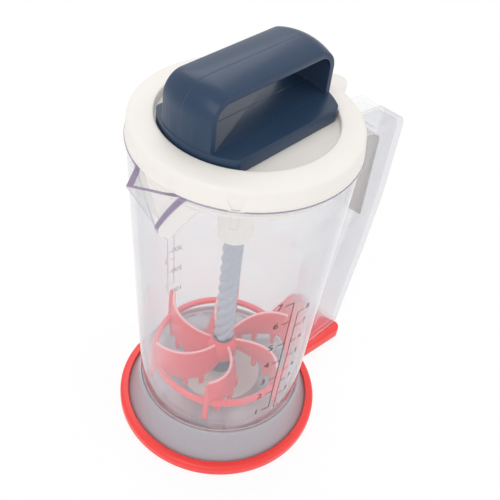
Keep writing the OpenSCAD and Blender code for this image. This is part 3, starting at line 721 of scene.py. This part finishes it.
def jugTurns():
    # turns from the spout in radians: dense at the V and at the mark
    near = np.radians(np.arange(0, jug["nearTurn"], jug["nearStep"]))
    far = np.radians(np.linspace(jug["nearTurn"], 180, jug["farTurns"], endpoint=False))
    atMark = np.radians(jug["markTurn"] + np.linspace(*jug["markSpan"]))
    return np.unique(np.round(np.concatenate([near, -near, far, -far, [-math.pi], atMark]), 6))


def jugBody():
    # one closed profile for each angle: underside, outer wall, top edge, inner wall and floor
    turn = jugTurns()
    outTop, inTop = jugTop(outerRadius, turn), jugTop(innerRadius, turn)
    climb = np.concatenate([
        np.linspace(0, jug["upperFrom"], jug["rows"], endpoint=False),
        np.linspace(jug["upperFrom"], 1, jug["upperRows"])])
    rows = []    # (radius, height, edge share) of each row, over all angles

    def row(*values):
        rows.append([np.broadcast_to(value, turn.shape) for value in values])

    corner, fillet, edge = jug["corner"], jug["fillet"], jug["round"]
    for r in (*jug["floorRings"], jug["baseRadius"] - corner):
        row(r, jug["baseZ"], 0)
    for a in np.radians(jug["arc"]):
        z = jug["baseZ"] + corner * (1 - math.cos(a))
        row(coneRadius(z) - jug["slack"] - corner * (1 - math.sin(a)), z, 0)
    low = jug["baseZ"] + corner + jug["cornerGap"]
    for share in climb:
        z = low + (outTop - edge - low) * share
        row(outerRadius(turn, z), z, wallShare(turn, z))
    outer, inner = outerRadius(turn, outTop), innerRadius(turn, inTop)
    cut = edge * jug["roundCut"]
    offArrow = np.abs(np.degrees(turn) - jug["markTurn"])
    shown = np.where(offArrow < jug["arrowTurn"], jug["arrowShare"], 1)
    row(outer - cut, outTop - cut, jug["topShare"] * shown)
    row(outer - edge, outTop, shown)
    row((outer + inner) / 2, (outTop + inTop) / 2, shown)
    row(inner + edge, inTop, 1)
    row(inner + cut, inTop - cut, jug["topShare"])
    floorZ = jug["baseZ"] + jug["floor"]
    low = floorZ + fillet
    for share in climb[::-1]:
        z = low + (inTop - edge - low) * share
        row(innerRadius(turn, z), z, 0)
    for a in np.radians(jug["arc"]):
        z = floorZ + fillet * (1 - math.sin(a))
        row(coneRadius(floorZ) - jug["wall"] - fillet * (1 - math.cos(a)), z, jug["filletShare"])
    for r in jug["floorRings"][::-1]:
        row(r, floorZ, 0)
    radius, height, share = [np.array([entry[k] for entry in rows]) for k in range(3)]
    # the spout points along -X
    grid = polar(radius, turn + math.pi, height) * mm
    return finished(surface("jugBody", (grid, False, True)), "jug_body", share)


# sizes of the spiral rod in mm; its lead is the height of one turn
rod = {
    "radius": 5.3, "flute": 0.85, "starts": 4, "lead": 28.0,
    "narrow": 1.6,                          # power that narrows the valleys between the ridges
    "neck": 3.5, "neckHeight": 2.9,
    "bore": 3.1, "boreDepth": 10,
    "screwHole": 1.4, "screwDepth": 8,
    "chamfer": 0.3,                         # the flutes' first and last rows are this much smaller
    "around": 96, "step": 0.5,              # points round it, and height between rows
    "apart": 0.01,                          # keeps the flutes' first row off the end's
}


def spiralRod():
    # r = radius - flute * (0.5 - 0.5 cos(starts * (angle - 2 pi z / lead)))^narrow: broad ridges and narrow
    # valleys that climb with the angle
    low, high = [corner.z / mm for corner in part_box("spiral_rod")]
    top = high - rod["neckHeight"]
    z = np.arange(low, top, rod["step"])[:, None]
    angle = circle(rod["around"])
    phase = rod["starts"] * (angle - 2 * np.pi * z / rod["lead"])
    r = rod["radius"] - rod["flute"] * (0.5 - 0.5 * np.cos(phase)) ** rod["narrow"]
    # ends: the spigot's bore below, and a flat, the neck and its screw hole above
    below = [low + rod["boreDepth"]] * 2 + [low] * 2
    above = [top] * 2 + [high] * 2 + [high - rod["screwDepth"]] * 2
    height = np.concatenate([below, z[:, 0] + rod["apart"], above])[:, None]
    axis, bore, neck, hole = [
        np.full((1, rod["around"]), size) for size in (0.0, rod["bore"], rod["neck"], rod["screwHole"])]
    radius = np.concatenate([
        axis, bore, bore, r[:1] - rod["chamfer"], r, r[-1:] - rod["chamfer"], neck, neck, hole, hole, axis])
    return finished(surface("spiralRod", (polar(radius, angle, height) * mm, False, True)), "spiral_rod")


# sizes of the whisk in mm, and turns in degrees
whisk = {
    "arms": 6, "firstTurn": 33.5,           # a vane, a fin and its teeth on each
    "ringRadius": 38.2, "ringWidth": 3.0, "ringTop": 40.0, "ringHeight": 3.0,
    # radius and height round the hub's section
    "hub": [(5.4, 36.2), (7.7, 36.0), (8.0, 36.4), (8.0, 45.2), (7.7, 45.9), (7.2, 46.3), (6.5, 49.6),
            (6.2, 50.0), (5.6, 50.0), (5.4, 49.8)],
    # a vane's radius, turn and height of its top edge there, and turn and height of its bottom edge
    "vane": [(8, 34, 48.6, 60, 37.0), (14, 29, 49.8, 46.5, 34.0), (20, 24.1, 51.2, 34, 33.0),
             (26, 18.2, 52.6, 23, 33.0), (32, 10.2, 54.1, 12, 34.2), (37.5, 0, 55.6, 0, 37.1)],
    "vaneDegree": 3,                        # of the curves fitted to that table
    "vaneSpan": (7.0, 37.4, 46),            # inner and outer radius, and rows
    "thick": 1.7,
    "curl": 1.5,                            # power of the height's share in the turn
    "vaneRound": 0.05,                      # share of its height over which an edge is rounded, and over which the top edge carries a painted highlight
    # a scraper fin's height, and its inner radius, outer radius and half thickness there
    "fin": [(26.7, 39.2, 40.0, 0.5), (27.4, 38.6, 40.6, 1.2), (29.0, 38.2, 40.9, 1.5),
            (37.0, 36.9, 40.9, 1.5), (44.0, 37.0, 40.9, 1.4), (51.0, 38.2, 40.8, 1.1),
            (55.0, 39.0, 40.4, 0.7), (55.9, 39.4, 40.1, 0.4)],
    "finRows": [(26.7, 29, 6), (30, 54, 20), (54.6, 55.9, 5)],    # lowest, highest and count of its rows
    "finSquare": 0.5, "ringSquare": 0.4,    # powers that square their sections
    "teeth": [33.4, 25.8, 18.6],            # radii at which they hang
    "toothRadius": 1.7, "toothTip": 26.8,   # radius at the vane, and height of the tip
    "toothNarrow": 0.82,                    # share of the radius at the tip
    # the tip's depth and rows; the shaft's start above the tip, its depth in the vane and its rows
    "tipDepth": 1.4, "tipArc": (18, 36, 54, 72, 90), "shaftFrom": 2.4, "shaftInto": 1.0, "shaftRows": 6,
    # points round each section
    "vaneAround": 40, "finAround": 24, "toothAround": 20, "ringAround": 24,
}


def vaneEdges(r):
    # curves of the third degree fitted to the table, at radius r: turns in radians and heights in mm
    table = np.array(whisk["vane"], float)
    curves = [np.polyfit(table[:, 0], table[:, k], whisk["vaneDegree"]) for k in range(1, 5)]
    top, topZ, low, lowZ = [np.polyval(curve, r) for curve in curves]
    return np.radians(top), topZ, np.radians(low), lowZ


def vane(turn):
    # a sheet from its top edge (across 0) to its bottom edge (across 1); turn and height are mixed by across,
    # the turn with a curl, and half the thickness is laid off along the normal, rounded at both edges
    r = np.linspace(*whisk["vaneSpan"])[:, None]
    way = circle(whisk["vaneAround"])
    across = 0.5 - 0.5 * np.cos(way)
    top, topZ, low, lowZ = vaneEdges(r)
    curl = whisk["curl"]
    angle = turn + top + (low - top) * across ** curl
    middle = polar(r, angle, topZ + (lowZ - topZ) * across)
    spin = (low - top) * curl * across ** (curl - 1)
    down = np.broadcast_arrays(-r * np.sin(angle) * spin, r * np.cos(angle) * spin, lowZ - topZ)
    normal = np.cross(np.gradient(middle, axis=0), np.stack(down, axis=-1))
    normal /= np.linalg.norm(normal, axis=-1, keepdims=True)
    near = np.clip(np.minimum(across, 1 - across) / whisk["vaneRound"], 0, 1)
    side = np.sign(np.sin(way) + 1e-9)
    half = whisk["thick"] / 2 * np.sqrt(1 - (1 - near) ** 2) * side
    # the top edge is painted paler, a painted highlight, carried as the edge attribute
    paleHighlight = np.broadcast_to(np.clip(1 - across / whisk["vaneRound"], 0, 1), middle.shape[:2])
    return capped(middle + normal * half[:, None]), np.pad(paleHighlight, ((1, 1), (0, 0)), "edge")


def fin(turn):
    # a rounded box between the two radii at each height
    table = np.array(whisk["fin"], float)
    z = np.concatenate([np.linspace(*span) for span in whisk["finRows"]])[:, None]
    inner, outer, half = [np.interp(z, table[:, 0], table[:, k]) for k in range(1, 4)]
    x, y = roundedBox(whisk["finAround"], whisk["finSquare"])
    radius = (inner + outer) / 2 + (outer - inner) / 2 * x
    return capped(polar(radius, turn + half * y / radius, z))


def tooth(turn, r):
    # a round peg under the vane's bottom edge that narrows to a rounded tip
    _, _, low, lowZ = vaneEdges(r)
    tip = whisk["toothTip"]
    arc = np.radians(whisk["tipArc"])
    shaft = np.linspace(tip + whisk["shaftFrom"], lowZ + whisk["shaftInto"], whisk["shaftRows"])
    z = np.concatenate([tip + whisk["tipDepth"] * (1 - np.cos(arc)), shaft])
    narrow = whisk["toothNarrow"]
    wide = whisk["toothRadius"] * (narrow + (1 - narrow) * (z - tip) / (lowZ - tip))
    wide[:len(arc)] *= np.sin(arc)
    peg = polar(wide[:, None], circle(whisk["toothAround"]), z[:, None])
    return capped(polar(r, turn + low, 0) + peg)


def whiskHead():
    # hub, ring, vanes, fins and teeth overlap and are kept as closed shells of one mesh
    x, y = roundedBox(whisk["ringAround"], whisk["ringSquare"])
    wide, high = whisk["ringWidth"] / 2, whisk["ringHeight"] / 2
    ring = np.stack([whisk["ringRadius"] - wide + wide * x, whisk["ringTop"] - high + high * y], axis=1)
    shells = [(lathe(whisk["hub"]), True), (lathe(ring), True)]
    paleHighlight = [np.zeros(points.shape[:2]) for points, _ in shells]
    for arm in range(whisk["arms"]):
        turn = math.radians(whisk["firstTurn"] + arm * 360 / whisk["arms"])
        sheet, edge = vane(turn)
        pegs = [fin(turn)] + [tooth(turn, r) for r in whisk["teeth"]]
        shells += [(points, False) for points in [sheet] + pegs]
        paleHighlight += [edge] + [np.zeros(peg.shape[:2]) for peg in pegs]
    obj = surface("whiskHead", *[(points * mm, closed, True) for points, closed in shells])
    return finished(obj, "whisk", np.concatenate([entry.ravel() for entry in paleHighlight]))


# columns printed on the jug, in mm and degrees about Z
scales = {
    "lift": 0.06,            # off the wall
    "barStep": 3,            # between the rows of a bar, which lets it follow the wall
    "fontSize": 1.35,        # for digits 1 mm high
    # turn, side of the ticks, line width, tick length, digit height and gap, step of the numbers, heights
    "thin": {
        "turn": -101.0, "side": -1, "line": 0.5, "tick": 4.4, "digit": 4.5, "gap": 3.2, "step": 1,
        "marks": [37.8, 52.2, 64.8, 78.7, 92.5, 108.9, 122.0]},
    "thick": {
        "turn": -96.0, "side": 1, "line": 0.45, "tick": 3.6, "digit": 3.5, "gap": 2.8, "step": 1,
        "marks": [34.4, 46.6, 58.3, 68.1, 79.3, 90.9, 102.5, 113.0]},
    "volumeFine": {
        "turn": 90.0, "side": -1, "line": 0.35, "tick": 2.6, "digit": 3.6, "gap": 3.8, "step": 100,
        "marks": [46.3, 62.2, 77.4, 95.7, 112.0, 127.5, 143.0, 158.0]},
    "volumeCoarse": {
        "turn": 84.5, "side": 1, "line": 0.35, "tick": 2.4, "digit": 3.4, "gap": 3.4, "step": 1,
        "marks": [53.2, 71.7, 90.2, 108.7, 127.2]},
}


def onWall(across, up, turn):
    # flat drawing (across, up) laid on the jug's cone: across turns about Z, up is the height
    r = coneRadius(up) + scales["lift"]
    return polar(r, math.radians(turn) + across / r, up) * mm


def bar(start, end, width):
    # points along both sides of a flat bar from start to end, half the width off it, and its quads
    start, end = np.array(start, float), np.array(end, float)
    length = np.linalg.norm(end - start)
    along = (end - start) / length
    side = np.array([-along[1], along[0]]) * width / 2
    steps = max(2, int(length / scales["barStep"]))
    middle = start + np.linspace(0, 1, steps)[:, None] * (end - start)
    quads = [(i, i + 1, steps + i + 1, steps + i) for i in range(steps - 1)]
    return np.concatenate([middle - side, middle + side]), quads


def digits(text, height, place):
    # points and faces of a number in Blender's own font, flat and with its middle at place
    curve = bpy.data.curves.new("digit", "FONT")
    curve.body = text
    curve.size = height * scales["fontSize"]
    curve.align_x = "CENTER"
    curve.align_y = "CENTER"
    curve.resolution_u = 3
    obj = bpy.data.objects.new("digit", curve)
    bpy.context.collection.objects.link(obj)
    bpy.context.view_layer.update()
    mesh = bpy.data.meshes.new_from_object(obj.evaluated_get(bpy.context.evaluated_depsgraph_get()))
    points = np.zeros(len(mesh.vertices) * 3)
    mesh.vertices.foreach_get("co", points)
    faces = [tuple(polygon.vertices) for polygon in mesh.polygons]
    bpy.data.objects.remove(obj)
    bpy.data.meshes.remove(mesh)
    bpy.data.curves.remove(curve)
    return points.reshape(-1, 3)[:, :2] + place, faces


def portionScale(name, ink):
    # an upright line with a tick and a number at each mark, all one mesh
    spec = scales[name]
    marks = spec["marks"]
    reach = spec["side"] * spec["tick"]
    column = reach + spec["side"] * spec["gap"]
    parts = [bar((0, marks[0]), (0, marks[-1]), spec["line"])]
    parts += [bar(*sorted([(0, z), (reach, z)]), spec["line"]) for z in marks]
    for i, z in enumerate(marks):
        parts.append(digits(str((i + 1) * spec["step"]), spec["digit"], (column, z)))
    flat = np.concatenate([points for points, _ in parts])
    faces = []
    start = 0
    for points, shapes in parts:
        faces += [[start + i for i in face] for face in shapes]
        start += len(points)
    mesh = bpy.data.meshes.new(name + "Scale")
    mesh.from_pydata(onWall(flat[:, 0], flat[:, 1], spec["turn"]).tolist(), [], faces)
    mesh.validate()
    obj = bpy.data.objects.new(name + "Scale", mesh)
    bpy.context.collection.objects.link(obj)
    return dress(obj, "jug", "clear_plastic", ink)


makeCamera()
makeSoftboxes()
makeStage()
print("camera, lights and floor made")

plastic = {name: mouldedPlastic(name) for name in finishes}
silver = satinSilver()
clear, clearGrip, clearEdge = [clearWall(name) for name in clearWalls]
steel = screwSteel()
ink = {name: scaleInk(name) for name in inks}
slate, cream, bushWhite = plastic["slatePlastic"], plastic["creamPlastic"], plastic["bushPlastic"]
print("materials made")

dress(jugBody(), "jug", "clear_plastic", clear)
dress(softened("jug_handle", "jugHandle", edgeSlot=1), "jug", "clear_plastic", clearGrip, clearEdge)
print("jug made")
dress(softened("push_handle", "pushHandle"), "plunger", "slate_plastic", slate)
dress(softened("lid_cover", "lidCover"), "lid", "cream_plastic", cream)
dress(softened("spout_gate", "spoutGate"), "lid", "cream_plastic", cream)
dress(softened("foot_ring", "footRing"), "jug", "red_plastic", plastic["redPlastic"])
dress(whiskHead(), "rotor", "red_whisk_plastic", plastic["whiskPlastic"])
dress(softened("foot_cone", "footCone"), "jug", "silver_plastic", silver)
dress(spiralRod(), "rotor", "rod_plastic", plastic["rodPlastic"])
print("main pieces made")

# the CAD pieces that keep their own meshes
for node, material in {
    "foot_plug": cream, "lid_seal": plastic["sealRubber"], "guide_sleeve": cream, "top_bush": bushWhite,
    "drive_nut": bushWhite, "sleeve_cap": cream, "under_plate": slate, "plate_screws": steel,
    "swivel_bush": bushWhite, "rod_head": steel, "rod_screw": steel, "whisk_retainer": slate,
}.items():
    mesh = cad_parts[node].data
    mesh.materials.clear()
    mesh.materials.append(material)
print("small pieces given their finishes")

portionScale("thin", ink["blackInk"])
portionScale("thick", ink["greyInk"])
portionScale("volumeFine", ink["paleInk"])
portionScale("volumeCoarse", ink["paleInk"])
print("scales printed")
